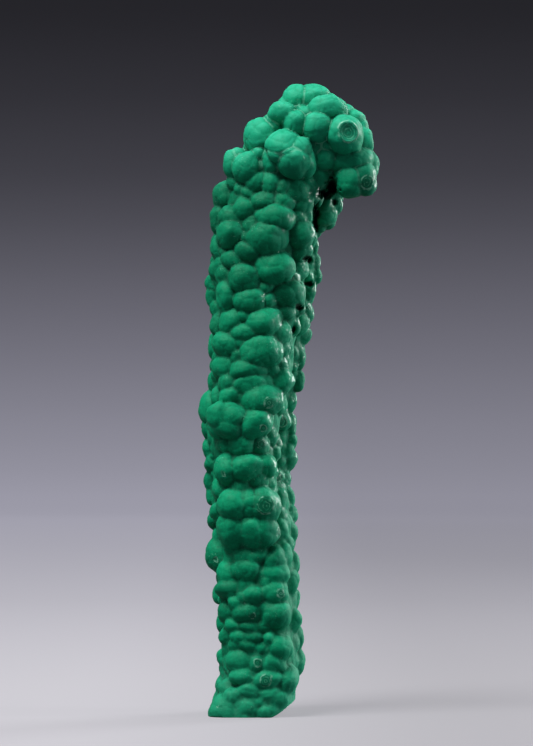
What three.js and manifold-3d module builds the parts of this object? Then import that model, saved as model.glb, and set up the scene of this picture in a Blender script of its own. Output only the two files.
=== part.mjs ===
// A malachite stalactite: one solid, knobbly column of botryoidal malachite that bends over at the top
// into a hooked crown and stands on its broken foot. Millimetres, +Z up, the column's face towards -Y.
// The origin is the middle of the flat face that it stands on.
//
// The column is a smooth core covered with rounded growths, called knobs here. Those of the face are
// placed one by one, those of the sides and back are scattered with a fixed seed, and one skin is drawn
// over all of them.

import * as THREE from "three";
import { mergeVertices } from "three/addons/utils/BufferGeometryUtils.js";
import Module from "manifold-3d";

// Driving dimensions.
const CHIP_START_X = 8; // where the chip under the foot's right side begins, and how steeply it rises
const CHIP_SLOPE = THREE.MathUtils.degToRad(36);
const BLOCK = 120; // side of the blocks that cut the foot, larger than the column is wide

const SHAFT_TOP = 131; // the shaft's skin ends inside the crown
const SHAFT_BOTTOM = -4; // and below the face that is cut for the foot
const CROWN_MIDDLE = new THREE.Vector3(16, 0, 135);
const CROWN_BOTTOM = 122; // knobs above this height may belong to the crown
const SKIN_AROUND = 44; // triangles of the skins
const SHAFT_ALONG = 92;
const CROWN_ALONG = 30;

// The core, from the foot to the hook's tip: x, y, z of its middle, half-width across, half-depth.
const CORE = [
  [0.5, 0.0, -4, 7.6, 11.0],
  [3.0, 0.0, 8, 7.4, 11.4],
  [3.6, 0.3, 20, 7.6, 11.4],
  [2.8, 0.4, 32, 7.9, 11.2],
  [1.8, 0.2, 44, 8.1, 11.0],
  [1.2, -0.2, 56, 8.4, 10.8],
  [0.8, -0.3, 68, 9.2, 10.8],
  [2.2, 0.0, 80, 9.2, 10.6],
  [3.4, 0.4, 92, 9.8, 10.2],
  [4.4, 0.5, 104, 10.5, 9.8],
  [5.8, 0.2, 116, 10.6, 9.2],
  [8.0, 0.0, 127, 10.8, 8.6],
  [13.0, -0.4, 136, 10.8, 8.0],
  [20.0, -0.6, 136.5, 8.8, 7.0],
  [25.0, -0.6, 132.5, 5.6, 5.6],
  [26.5, -0.6, 127.5, 3.6, 4.2],
];
const CORE_STEPS = 90; // places along the core where its thickness is worked out

// The knobs of the face: x, z, half-width, half-height and, where a knob stands proud of its neighbours
// or lies behind them, how far out it is set.
const FOOT_KNOBS = [
  [-6.2, 2.4, 2.2, 3.0], [-3.4, 2.0, 2.6, 2.6], [0.2, 1.8, 3.0, 2.4], [4.0, 2.2, 3.0, 2.4],
  [8.6, 3.6, 3.2, 2.2], [-5.0, 6.8, 2.4, 2.1], [-2.2, 4.7, 1.9, 1.5], [1.0, 6.2, 2.9, 2.2, 0.5],
  [5.6, 5.4, 2.2, 1.6], [10.2, 8.4, 2.7, 3.0, 0.4], [-4.2, 9.8, 1.9, 1.7], [-1.8, 9.3, 2.3, 1.8],
  [4.4, 9.3, 3.3, 1.9, 0.6], [-4.4, 13.3, 1.9, 2.2], [-1.2, 13.1, 2.6, 2.1], [0.6, 12.7, 1.6, 1.5],
  [3.4, 13.3, 2.4, 2.1, 0.4], [7.4, 12.4, 2.3, 2.1], [12.2, 12.0, 1.7, 2.4],
];
const LOWER_SHAFT_KNOBS = [
  [-4.6, 16.4, 1.7, 1.6], [-1.6, 15.9, 2.0, 1.3], [1.6, 17.0, 2.5, 1.3], [5.6, 18.1, 1.5, 1.5, 1.0],
  [9.8, 17.2, 2.4, 2.2, 0.2], [12.4, 18.2, 1.6, 2.6], [-4.0, 19.0, 1.9, 1.6], [1.4, 19.5, 3.8, 1.6],
  [-2.6, 21.3, 1.9, 1.6], [-5.4, 20.8, 1.4, 1.6], [3.6, 21.3, 2.8, 1.7], [7.6, 20.4, 1.9, 1.4],
  [11.4, 22.5, 1.7, 2.7], [-4.2, 24.6, 2.6, 2.0], [-0.2, 24.3, 2.4, 2.1, 0.3], [2.6, 23.9, 2.8, 2.0, 0.3],
  [8.3, 23.9, 2.8, 2.8, 0.8], [-6.2, 27.7, 1.7, 2.0], [-2.0, 27.6, 1.9, 1.7], [3.0, 29.2, 2.8, 2.9, 1.4],
  [8.4, 29.2, 2.5, 2.0], [11.9, 27.0, 1.5, 2.0], [11.0, 30.4, 1.7, 3.0], [-4.6, 30.8, 2.5, 2.0],
  [-1.0, 30.9, 2.7, 1.9], [4.8, 32.9, 2.0, 1.5], [8.3, 33.3, 2.6, 2.3, 0.4], [0.5, 35.2, 3.6, 2.3, 0.3],
  [-4.6, 33.8, 2.2, 1.7], [11.5, 35.6, 1.6, 2.4], [-6.6, 37.6, 2.6, 3.4, 0.6], [2.2, 37.9, 2.7, 1.6],
  [6.0, 36.4, 2.3, 1.9], [6.9, 38.9, 2.4, 1.8], [9.6, 38.0, 1.8, 2.1], [-2.6, 38.2, 2.4, 1.5],
];
const GIRDLE_KNOBS = [
  [-4.6, 43.5, 2.6, 2.8, 0.6], [-1.4, 43.4, 2.6, 2.9, 0.8], [1.6, 43.0, 2.4, 2.7, 0.5],
  [4.4, 42.9, 2.6, 2.8, 0.7], [7.9, 43.8, 2.4, 2.6, 0.4], [-6.6, 42.6, 1.5, 2.0], [10.8, 41.0, 1.3, 2.0],
  [10.9, 44.4, 1.3, 2.2], [-6.3, 47.6, 2.1, 2.0], [-7.2, 46.0, 1.5, 1.8], [-3.0, 50.0, 3.0, 3.1, 1.0],
  [1.0, 49.8, 2.8, 3.0, 0.8], [5.0, 50.4, 3.2, 3.3, 1.3], [9.4, 50.2, 1.9, 2.9], [8.6, 46.9, 1.5, 1.6],
  [11.0, 47.6, 1.1, 1.7], [-7.2, 51.4, 1.6, 2.0], [-5.8, 53.9, 2.0, 1.8], [8.0, 53.6, 2.2, 1.8],
  [10.4, 54.6, 1.3, 2.6], [-1.0, 54.7, 2.7, 1.8, 0.3], [3.6, 55.5, 2.6, 2.2, 0.5], [-7.7, 55.7, 1.5, 1.9],
  [-4.5, 58.0, 2.7, 3.0, 0.5], [-0.2, 58.9, 3.2, 2.7, 0.4], [4.0, 59.1, 2.4, 2.4, 0.2],
  [6.4, 59.6, 1.7, 2.3], [7.4, 56.9, 1.9, 1.9, 0.3], [-7.8, 60.0, 1.9, 2.5], [8.8, 61.0, 1.3, 1.9],
  [10.8, 61.0, 1.2, 1.9], [-0.7, 64.4, 2.7, 2.3], [4.2, 64.2, 2.2, 2.0], [7.3, 63.6, 1.5, 1.8],
  [6.6, 66.5, 1.5, 1.8], [-8.2, 64.2, 1.5, 2.0], [-4.8, 64.0, 2.6, 2.0, -0.8], [9.8, 64.4, 1.4, 1.9],
  [11.1, 65.6, 1.2, 1.9], [-6.2, 70.6, 3.0, 3.6, 1.2], [-2.8, 70.9, 3.4, 3.3, 1.4],
  [-5.6, 67.4, 3.2, 2.0, 0.6], [2.5, 69.2, 3.4, 3.3, 1.0], [-9.0, 67.8, 1.5, 2.1],
  [-9.8, 72.8, 1.9, 3.5], [8.6, 69.5, 1.9, 2.4], [11.1, 68.6, 1.5, 2.5], [5.0, 74.6, 3.4, 3.0, 0.8],
  [-2.9, 75.4, 2.6, 2.3], [-6.2, 75.7, 1.9, 1.9], [8.9, 73.0, 1.2, 1.8], [10.8, 74.0, 1.2, 2.8],
];
const UPPER_SHAFT_KNOBS = [
  [-7.8, 78.9, 1.4, 2.2], [-4.4, 79.2, 2.4, 2.0], [1.8, 78.1, 3.2, 2.5, 0.4], [8.3, 79.6, 2.7, 2.8, 0.6],
  [12.4, 79.4, 1.5, 2.2], [-5.7, 83.2, 2.5, 2.2], [0.0, 82.5, 2.8, 2.4, 0.3], [3.2, 81.9, 2.6, 2.1],
  [9.5, 83.6, 1.7, 1.7], [13.1, 84.4, 1.2, 2.6], [11.3, 84.0, 1.1, 1.5], [-4.8, 87.6, 3.3, 3.2, 0.6],
  [-2.0, 86.0, 2.0, 2.0, 0.2], [4.1, 86.9, 4.1, 3.3, 1.0], [-7.4, 88.2, 1.4, 2.7], [11.4, 87.2, 1.5, 2.2],
  [13.2, 87.6, 1.0, 1.6], [-0.3, 91.2, 2.7, 2.2], [2.8, 90.8, 2.5, 1.7], [9.0, 90.6, 2.2, 2.4, 0.2],
  [13.8, 90.2, 1.6, 2.2], [4.7, 93.6, 3.6, 3.1, 0.8], [-3.6, 93.5, 2.6, 2.7, 0.2], [-6.5, 93.2, 1.8, 2.6],
  [13.4, 93.8, 1.6, 2.5], [15.0, 94.4, 1.1, 2.4], [11.5, 92.4, 1.2, 1.7], [9.7, 94.9, 1.6, 1.7],
  [1.1, 97.9, 3.6, 3.1, 0.8], [6.0, 98.2, 2.1, 2.2], [8.8, 98.6, 2.2, 2.5], [12.0, 99.6, 2.5, 2.9, 0.4],
  [15.3, 100.2, 1.3, 2.5], [-4.8, 99.4, 2.4, 3.9, 0.6], [-7.4, 99.2, 1.5, 2.8], [0.2, 104.0, 3.4, 3.2, 0.8],
  [4.9, 102.3, 2.3, 2.0], [7.8, 102.1, 2.5, 2.0], [7.4, 106.4, 3.9, 3.5, 1.2], [-8.4, 102.4, 1.4, 2.5],
  [-6.0, 104.4, 1.9, 1.9], [-7.4, 105.8, 1.4, 2.1], [13.4, 106.2, 1.5, 2.0], [15.2, 104.4, 1.3, 2.1],
  [16.9, 104.8, 1.1, 2.1], [11.7, 103.2, 1.6, 2.0], [-2.7, 108.4, 2.5, 2.0], [0.7, 110.6, 2.9, 2.2, 0.3],
  [-6.3, 110.5, 1.6, 2.8], [-5.6, 107.1, 1.4, 1.4], [14.2, 110.3, 2.1, 2.3, 0.4], [17.2, 108.8, 1.2, 2.1],
  [11.4, 110.6, 2.1, 1.8],
];
const NECK_KNOBS = [
  [-3.5, 114.5, 3.0, 3.0, 0.9], [5.7, 113.4, 3.9, 3.3, 1.0], [13.4, 114.2, 3.2, 3.0, 0.8],
  [15.8, 113.8, 1.8, 2.9, 0.5], [17.6, 113.2, 1.1, 2.0], [0.9, 115.8, 2.0, 2.0], [-6.9, 117.4, 1.8, 3.0],
  [7.4, 118.3, 4.0, 2.7, 0.8], [-3.9, 118.9, 2.6, 2.0], [-0.4, 120.5, 2.3, 2.1, 0.3],
  [12.5, 119.3, 2.0, 1.8], [15.0, 119.4, 1.8, 2.3], [20.0, 118.3, 2.7, 3.0], [21.6, 121.0, 1.9, 1.9],
  [-5.3, 123.4, 2.2, 2.8, 0.2], [4.3, 122.8, 2.4, 2.0], [9.2, 121.7, 2.6, 1.8], [9.0, 124.8, 2.2, 1.8],
  [12.6, 123.6, 2.4, 2.4], [15.6, 122.8, 1.9, 2.1], [5.5, 126.3, 1.9, 2.0], [1.7, 127.1, 2.3, 2.2],
  [-1.3, 125.3, 1.6, 1.5], [-3.3, 126.9, 1.4, 2.2], [18.4, 121.6, 1.8, 2.2],
];
const CROWN_KNOBS = [
  [0.2, 130.8, 2.6, 2.7, 0.3], [-4.0, 131.1, 1.7, 3.1], [-1.6, 132.4, 1.9, 2.5], [2.9, 132.5, 1.6, 1.6],
  [5.9, 130.6, 2.1, 2.8], [7.6, 135.4, 2.8, 2.8, 1.4], [10.4, 135.0, 2.7, 2.8, 2.0],
  [13.4, 134.4, 2.6, 3.0, 1.6], [11.0, 131.0, 3.4, 3.6, 2.2], [14.5, 130.9, 1.9, 3.3, 1.4],
  [17.5, 127.9, 2.4, 1.8], [15.7, 126.2, 1.5, 1.5], [17.5, 133.4, 1.7, 1.8, -0.6],
  [20.0, 131.2, 2.0, 1.8, -0.6], [19.8, 134.8, 1.9, 1.7, -0.6], [2.6, 138.0, 3.1, 3.8, 0.4],
  [7.2, 140.8, 2.9, 2.8, 0.4], [9.2, 143.9, 3.2, 3.2, 0.2], [11.7, 141.1, 2.5, 2.6, 0.6],
  [17.0, 140.1, 3.4, 3.7, 1.2], [20.4, 143.8, 3.6, 2.8, 0.8], [17.8, 146.2, 2.8, 2.5],
  [14.0, 147.2, 3.2, 2.8], [11.6, 147.4, 1.9, 2.0], [20.4, 146.4, 2.4, 1.9], [14.0, 144.2, 1.5, 1.4],
  [25.4, 143.0, 2.8, 2.6], [24.4, 138.0, 3.6, 3.5, 1.4], [28.3, 137.4, 2.2, 3.0],
  [28.0, 141.0, 1.7, 2.2], [23.8, 132.0, 2.7, 2.1, -0.4], [27.4, 132.4, 2.0, 2.3],
  [29.9, 129.6, 2.1, 3.8], [26.2, 126.0, 3.2, 3.5, 0.6], [23.8, 126.2, 2.4, 2.9],
];
const FACE_KNOBS = [
  ...FOOT_KNOBS,
  ...LOWER_SHAFT_KNOBS,
  ...GIRDLE_KNOBS,
  ...UPPER_SHAFT_KNOBS,
  ...NECK_KNOBS,
  ...CROWN_KNOBS,
];

// The scattered knobs: how many places are tried, from the largest knob to the smallest.
const SCATTER_SEED = 4217;
const SCATTER_TRIES = 4200;
const LARGEST_SCATTERED = 3.1;
const SMALLEST_SCATTERED = 1.3;
const CLOSEST = 0.66; // how near two knobs may grow, as a share of their radii added together
const FACE_LIMIT = -0.3; // knobs that point more towards -Y than this belong to the face

// The Park-Miller generator: the same numbers from 0 to 1 each time.
function seededRandom(seed) {
  const MULTIPLIER = 16807;
  const MODULUS = 2147483647;
  let state = seed;
  return () => {
    state = (state * MULTIPLIER) % MODULUS;
    return state / MODULUS;
  };
}

// The core as a row of stations, each with its middle, half-width, half-depth and the way it runs.
function coreStations() {
  const middles = new THREE.CatmullRomCurve3(CORE.map(([x, y, z]) => new THREE.Vector3(x, y, z)));
  const sizes = new THREE.CatmullRomCurve3(CORE.map(([, , , a, b]) => new THREE.Vector3(a, b, 0)));
  return Array.from({ length: CORE_STEPS + 1 }, (_, i) => {
    const t = i / CORE_STEPS;
    const size = sizes.getPoint(t);
    return { middle: middles.getPoint(t), across: size.x, deep: size.y, along: middles.getTangent(t) };
  });
}

// How far in front of the column's middle plane the core's surface lies at (x, z) of the face.
function coreFront(stations, x, z) {
  let front = Infinity;
  for (const { middle, across, deep } of stations) {
    const reach = ((x - middle.x) ** 2 + (z - middle.z) ** 2) / across ** 2;
    if (reach < 1) front = Math.min(front, middle.y - deep * Math.sqrt(1 - reach));
  }
  return Number.isFinite(front) ? front : 0;
}

// A knob is an ellipsoid with its axes along X, Y and Z.
function faceKnob(stations, [x, z, across, high, proud = 0]) {
  const deep = (across + high) / 2;
  return {
    middle: new THREE.Vector3(x, coreFront(stations, x, z) - proud, z),
    radii: new THREE.Vector3(across, deep, high),
  };
}

// Tries places all over the core and keeps each one that has room beside the knobs already there.
function scatteredKnobs(stations, taken) {
  const random = seededRandom(SCATTER_SEED);
  const knobs = [...taken];
  const depthAxis = new THREE.Vector3(0, 1, 0);
  for (let i = 0; i < SCATTER_TRIES; i++) {
    const size = THREE.MathUtils.lerp(LARGEST_SCATTERED, SMALLEST_SCATTERED, (i / SCATTER_TRIES) ** 0.7);
    const station = stations[Math.floor(random() * stations.length)];
    const turn = random() * 2 * Math.PI;
    const squat = 0.85 + 0.3 * random();
    const sideways = new THREE.Vector3().crossVectors(station.along, depthAxis).normalize();
    const middle = station.middle.clone();
    middle.addScaledVector(depthAxis, Math.sin(turn) * station.deep);
    middle.addScaledVector(sideways, Math.cos(turn) * station.across);
    if (Math.sin(turn) < FACE_LIMIT) continue;
    const clear = knobs.every((other) => {
      const otherSize = (other.radii.x + other.radii.y + other.radii.z) / 3;
      return other.middle.distanceTo(middle) > CLOSEST * (size + otherSize);
    });
    if (clear) knobs.push({ middle, radii: new THREE.Vector3(size, size, size * squat) });
  }
  return knobs.slice(taken.length);
}

// The core itself as a row of ellipsoids, so that no gap between knobs is open.
function coreBeads(stations) {
  return stations.map(({ middle, across, deep }) => ({
    middle,
    radii: new THREE.Vector3(across, deep, across),
  }));
}

// How far along `way` from `start` a straight line finally leaves the ellipsoid, or 0 if it misses.
function exitDistance({ middle, radii }, start, way) {
  const from = start.clone().sub(middle).divide(radii);
  const step = way.clone().divide(radii);
  const a = step.lengthSq();
  const b = from.dot(step);
  const inside = b * b - a * (from.lengthSq() - 1);
  return inside < 0 ? 0 : Math.max(0, (Math.sqrt(inside) - b) / a);
}

// A closed ball of triangles, each vertex moved out along its own line to the outermost ellipsoid.
function drawSkin(ellipsoids, along, lineOf) {
  const ball = new THREE.SphereGeometry(1, SKIN_AROUND, along).rotateX(Math.PI / 2);
  const positions = ball.getAttribute("position");
  const vertex = new THREE.Vector3();
  for (let i = 0; i < positions.count; i++) {
    vertex.fromBufferAttribute(positions, i);
    const { start, way } = lineOf(vertex);
    const reach = Math.max(...ellipsoids.map((e) => exitDistance(e, start, way)));
    vertex.copy(start).addScaledVector(way, reach);
    positions.setXYZ(i, vertex.x, vertex.y, vertex.z);
  }
  return ball;
}

// The shaft's skin is drawn from the core's middle line, level by level. At both ends it closes on it.
function shaftSkin(stations, ellipsoids) {
  const upright = stations.filter(({ along }) => along.z > 0.5);
  return drawSkin(ellipsoids, SHAFT_ALONG, (vertex) => {
    const fraction = Math.acos(THREE.MathUtils.clamp(vertex.z, -1, 1)) / Math.PI;
    const z = THREE.MathUtils.lerp(SHAFT_TOP, SHAFT_BOTTOM, fraction);
    const level = upright.reduce((a, b) => (Math.abs(b.middle.z - z) < Math.abs(a.middle.z - z) ? b : a));
    const way = new THREE.Vector3(vertex.x, vertex.y, 0);
    const atEnd = way.length() < 1e-6;
    return {
      start: new THREE.Vector3(level.middle.x, level.middle.y, z),
      way: atEnd ? way.set(0, 0, 0.001 * Math.sign(vertex.z)) : way.normalize(),
    };
  });
}

// The crown's skin is drawn from one point in its middle.
function crownSkin(ellipsoids) {
  return drawSkin(ellipsoids, CROWN_ALONG, (vertex) => ({
    start: CROWN_MIDDLE,
    way: vertex.clone().normalize(),
  }));
}

const wasm = await Module();
wasm.setup();

// A closed three.js geometry as a manifold-3d solid.
function toSolid(geometry) {
  const bare = geometry.index ? geometry.toNonIndexed() : geometry.clone();
  bare.deleteAttribute("normal");
  bare.deleteAttribute("uv");
  const merged = mergeVertices(bare, 1e-4);
  return new wasm.Manifold(
    new wasm.Mesh({
      numProp: 3,
      vertProperties: new Float32Array(merged.getAttribute("position").array),
      triVerts: new Uint32Array(merged.index.array),
    }),
  );
}

// And back again, with flat-shaded faces.
function toGeometry(solid) {
  const mesh = solid.getMesh();
  const geometry = new THREE.BufferGeometry();
  geometry.setAttribute("position", new THREE.BufferAttribute(mesh.vertProperties, 3));
  geometry.setIndex(new THREE.BufferAttribute(mesh.triVerts, 1));
  geometry.computeVertexNormals();
  return geometry;
}

function malachiteStalactite() {
  const stations = coreStations();
  const face = FACE_KNOBS.map((numbers) => faceKnob(stations, numbers));
  const knobs = [...face, ...scatteredKnobs(stations, face)];
  const beads = coreBeads(stations);
  const belongsToCrown = ({ middle }) => middle.z > CROWN_BOTTOM && (middle.z > 126 || middle.x > 22);
  const crown = [...knobs, ...beads].filter(belongsToCrown);
  const shaft = [...knobs, ...beads].filter((e) => !belongsToCrown(e));

  const grown = toSolid(shaftSkin(stations, shaft)).add(toSolid(crownSkin(crown)));
  const floor = new THREE.BoxGeometry(BLOCK, BLOCK, BLOCK).translate(0, 0, -BLOCK / 2);
  const chip = new THREE.BoxGeometry(BLOCK, BLOCK, BLOCK)
    .translate(BLOCK / 2, 0, -BLOCK / 2)
    .rotateY(-CHIP_SLOPE)
    .translate(CHIP_START_X, 0, 0);
  return toGeometry(grown.subtract(toSolid(floor)).subtract(toSolid(chip)));
}

const malachite = new THREE.MeshStandardMaterial({ color: 0x14704c, roughness: 0.55, metalness: 0 });
const specimen = new THREE.Group();
const stalactite = new THREE.Mesh(malachiteStalactite(), malachite);
stalactite.name = "malachite_stalactite";
specimen.add(stalactite);

export default specimen;
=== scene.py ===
import math
import random

import bpy
import numpy as np
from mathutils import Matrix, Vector, noise


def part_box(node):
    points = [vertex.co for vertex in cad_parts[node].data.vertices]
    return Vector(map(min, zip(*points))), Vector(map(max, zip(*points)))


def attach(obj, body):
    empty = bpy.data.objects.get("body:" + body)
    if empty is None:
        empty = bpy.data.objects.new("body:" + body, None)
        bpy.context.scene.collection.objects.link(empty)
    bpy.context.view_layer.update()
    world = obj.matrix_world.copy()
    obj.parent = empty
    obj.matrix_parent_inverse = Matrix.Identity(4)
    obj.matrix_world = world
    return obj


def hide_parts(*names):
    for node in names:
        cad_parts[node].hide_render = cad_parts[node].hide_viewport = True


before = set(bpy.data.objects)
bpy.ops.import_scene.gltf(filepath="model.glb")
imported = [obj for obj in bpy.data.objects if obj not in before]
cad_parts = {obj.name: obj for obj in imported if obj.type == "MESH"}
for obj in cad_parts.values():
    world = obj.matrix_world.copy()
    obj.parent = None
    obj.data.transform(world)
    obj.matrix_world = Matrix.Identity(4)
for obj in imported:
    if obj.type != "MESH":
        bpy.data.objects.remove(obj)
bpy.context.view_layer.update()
bpy.ops.object.select_all(action="DESELECT")
MM = 0.001

# ---- The camera ----------------------------------------------------------------------------------
# A long lens, level with the column's middle and square to its face. The column stands a little to the left
# of the picture's middle, with the crown hooking over towards the right.
column_low, column_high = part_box("malachite_stalactite")
column_height = column_high.z - column_low.z
CAMERA_DISTANCE = 0.95
SENSOR = 36.0  # of the picture's long side, in the lens's millimetres
picture_height = 1.189 * column_height
bpy.ops.object.camera_add(
    location=(0.0343 * column_height, -CAMERA_DISTANCE, 0.5427 * column_height),
    rotation=(math.radians(90), 0, 0),
)
camera = bpy.context.object
camera.name = "camera"
camera.data.sensor_width = SENSOR
camera.data.lens = SENSOR * CAMERA_DISTANCE / picture_height
camera.data.clip_start = 0.01
bpy.context.scene.camera = camera
bpy.context.scene.view_settings.view_transform = "Standard"

# ---- The floor and its sweep ---------------------------------------------------------------------
# Plain matt board: a round floor that curves up into a wall all round, pale under the column and darker
# towards the wall, with painted light and shade in its grey and its glow. It isn't part of the specimen.
FLOOR_RADIUS = 1.35
COVE_RADIUS = 0.30
COVE_STEPS = 12
WALL_HEIGHT = 0.45
bpy.ops.mesh.primitive_circle_add(vertices=128, radius=FLOOR_RADIUS, fill_type="TRIFAN")
floor = bpy.context.object
floor.name = "floor"
bpy.ops.object.mode_set(mode="EDIT")
bpy.ops.mesh.select_mode(type="EDGE")
bpy.ops.mesh.select_all(action="DESELECT")
bpy.ops.mesh.select_non_manifold()
radius, height = FLOOR_RADIUS, 0.0
for step in range(1, COVE_STEPS + 1):
    turn = math.radians(90) * step / COVE_STEPS
    next_radius = FLOOR_RADIUS + COVE_RADIUS * math.sin(turn)
    next_height = COVE_RADIUS * (1 - math.cos(turn))
    bpy.ops.mesh.extrude_edges_move(TRANSFORM_OT_translate={"value": (0, 0, next_height - height)})
    bpy.ops.transform.resize(value=(next_radius / radius, next_radius / radius, 1))
    radius, height = next_radius, next_height
bpy.ops.mesh.extrude_edges_move(TRANSFORM_OT_translate={"value": (0, 0, WALL_HEIGHT)})
bpy.ops.object.mode_set(mode="OBJECT")
bpy.ops.object.shade_smooth()


class Link:
    """A socket of a material's nodes. Arithmetic on it adds Math nodes, and add() adds any other node."""

    def __init__(self, tree, socket=None):
        self.tree = tree
        self.socket = socket

    def add(self, kind, settings=None, inputs=None, output=0):
        node = self.tree.nodes.new(kind)
        for name, setting in (settings or {}).items():
            if name == "stops":
                for stop, (place, colour) in zip(node.color_ramp.elements, setting[:2]):
                    stop.position, stop.color = place, colour
                for place, colour in setting[2:]:
                    node.color_ramp.elements.new(place).color = colour
            else:
                setattr(node, name, setting)
        for name, value in (inputs or {}).items():
            if isinstance(value, Link):
                self.tree.links.new(value.socket, node.inputs[name])
            else:
                node.inputs[name].default_value = value
        return Link(self.tree, node.outputs[output])

    def math(self, operation, first, second=0.0):
        return self.add("ShaderNodeMath", {"operation": operation}, {0: first, 1: second})

    def __add__(self, other):
        return self.math("ADD", self, other)

    def __radd__(self, other):
        return self.math("ADD", other, self)

    def __sub__(self, other):
        return self.math("SUBTRACT", self, other)

    def __rsub__(self, other):
        return self.math("SUBTRACT", other, self)

    def __mul__(self, other):
        return self.math("MULTIPLY", self, other)

    def __rmul__(self, other):
        return self.math("MULTIPLY", other, self)

    def __truediv__(self, other):
        return self.math("DIVIDE", self, other)

    def __pow__(self, other):
        return self.math("POWER", self, other)

    def rise(self, low, high):
        """0 below low, 1 above high and a smooth rise between them."""
        return self.add(
            "ShaderNodeMapRange",
            {"interpolation_type": "SMOOTHSTEP"},
            {"Value": self, "From Min": low, "From Max": high},
        )

    def between(self, low, high):
        """The colour low where this is 0, high where it is 1, and a mix of the two in between."""
        return self.add("ShaderNodeMix", {"data_type": "RGBA"}, {0: self, 6: low, 7: high}, output=2)


def material_nodes(name):
    """A new material, the way in to its nodes, and its surface shader."""
    material = bpy.data.materials.new(name)
    material.use_nodes = True
    tree = material.node_tree
    return material, Link(tree), tree.nodes["Principled BSDF"]


# How grey the board is, and how much it glows, by metres out along the floor and up. The glow is painted
# light with no lamp behind the board, and both fall off from the floor to the top of the wall.
SWEEP_LENGTH = FLOOR_RADIUS + COVE_RADIUS + COVE_RADIUS + WALL_HEIGHT
DARKER_RIGHT, EVENED_OUT = 0.22, 0.19
BOARD_GREYS = [(0.1, 0.15), (1.3, 0.15), (1.5, 0.12), (1.66, 0.10), (1.8, 0.04), (2.0, 0.010)]
BOARD_GLOW = [
    (0.10, 0.38), (0.48, 0.32), (0.88, 0.315), (1.26, 0.305), (1.43, 0.275), (1.56, 0.200), (1.664, 0.130),
    (1.779, 0.070), (1.844, 0.038), (1.91, 0.021), (1.965, 0.012),
]


def lay_board(floor):
    material, board, shader = material_nodes("pale_board")
    place = board.add("ShaderNodeTexCoord", output=3)
    apart = place.add("ShaderNodeSeparateXYZ", inputs={0: place})
    across = Link(apart.tree, apart.socket.node.outputs[0])
    along = Link(apart.tree, apart.socket.node.outputs[1])
    height = Link(apart.tree, apart.socket.node.outputs[2])
    onward = ((across * across + along * along) ** 0.5 + height) / SWEEP_LENGTH

    # Painted shade: it is a little darker towards the right, least of all far out.
    to_right = across.rise(-0.05, 0.06)
    lit = 1 - to_right * (DARKER_RIGHT - EVENED_OUT * onward.rise(0.45, 0.80))

    def ramp(greys):
        stops = [(s / SWEEP_LENGTH, (g, 0.98 * g, (1.05 + 0.09 * s) * g, 1)) for s, g in greys]
        colour = onward.add("ShaderNodeValToRGB", {"stops": stops}, {0: onward})
        return lit.between((0, 0, 0, 1), colour)

    board.tree.links.new(ramp(BOARD_GREYS).socket, shader.inputs["Base Color"])
    board.tree.links.new(ramp(BOARD_GLOW).socket, shader.inputs["Emission Color"])
    shader.inputs["Emission Strength"].default_value = 1.0
    shader.inputs["Roughness"].default_value = 0.8
    shader.inputs["Specular IOR Level"].default_value = 0.1
    floor.data.materials.append(material)
    floor.visible_diffuse = floor.visible_glossy = False


lay_board(floor)

# ---- The studio lights ---------------------------------------------------------------------------
# A large softbox high up in front on the left, a weak one on the left, and a stronger one behind on the
# right. A thin strip on the right gives the column's right side its small bright glints.
LIT_PLACE = Vector((0, 0, 0.55 * column_height))
ROOM_COLOUR, ROOM_LIGHT = (0.9, 0.93, 1.0, 1), 0.18
# The three low ones have grids, which keep their light off the floor below them.
WHITE, GRID_SPREAD = (1.0, 1.0, 1.0), 140


def hang_softbox(name, place, size, watts, colour, spread=180):
    bpy.ops.object.light_add(type="AREA", location=place)
    softbox = bpy.context.object
    softbox.name = name
    softbox.rotation_euler = (LIT_PLACE - Vector(place)).to_track_quat("-Z", "Y").to_euler()
    softbox.data.shape = "RECTANGLE"
    softbox.data.size, softbox.data.size_y = size
    softbox.data.energy = watts
    softbox.data.color = colour
    softbox.data.spread = math.radians(spread)
    softbox.visible_camera = False


hang_softbox("key", (-0.35, -0.32, 0.96), (0.40, 0.40), 13.7, (1.0, 0.99, 0.97))
hang_softbox("left", (-0.85, -0.05, 0.35), (0.30, 0.70), 0.45, WHITE, GRID_SPREAD)
hang_softbox("right", (0.57, 0.43, 0.32), (0.28, 0.55), 3.17, WHITE, GRID_SPREAD)
hang_softbox("strip", (0.60, -0.07, 0.22), (0.025, 0.40), 0.72, WHITE, GRID_SPREAD)
world = bpy.data.worlds.new("studio")
world.use_nodes = True
world.node_tree.nodes["Background"].inputs["Color"].default_value = ROOM_COLOUR
world.node_tree.nodes["Background"].inputs["Strength"].default_value = ROOM_LIGHT
bpy.context.scene.world = world

# ---- The malachite -------------------------------------------------------------------------------
# One mass of botryoidal malachite, grown as a stalactite: a long core that bends over at the top, covered
# with rounded knobs that meet in creases. A narrow second core runs up its right side, towards the back.
# Each row of a core is x, y, z of its middle, its half-width and its half-depth, in millimetres.
MAIN_CORE = [
    (-0.7, 0.0, -5, 8.0, 12.0), (0.4, 0.0, 1.5, 7.5, 11.8), (2.3, 0.0, 6, 7.0, 11.2),
    (2.4, 0.2, 14, 7.0, 11.2), (2.2, 0.3, 22, 7.2, 11.2), (1.6, 0.4, 32, 7.3, 11.0),
    (0.6, 0.2, 44, 7.4, 10.8), (-0.1, -0.2, 56, 7.5, 10.6), (-0.3, -0.3, 68, 8.3, 10.6),
    (1.7, 0.0, 80, 9.0, 10.4), (2.5, 0.4, 92, 9.6, 10.0), (3.2, 0.5, 104, 10.7, 9.6),
    (4.4, 0.2, 116, 11.0, 9.2), (8.0, 0.0, 127, 10.8, 8.6), (13.2, -0.4, 136, 10.2, 8.0),
    (19.8, -0.6, 136.0, 8.2, 7.0), (24.6, -0.6, 132.5, 5.2, 5.6), (26.5, -0.6, 127.5, 3.6, 4.2),
]
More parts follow.
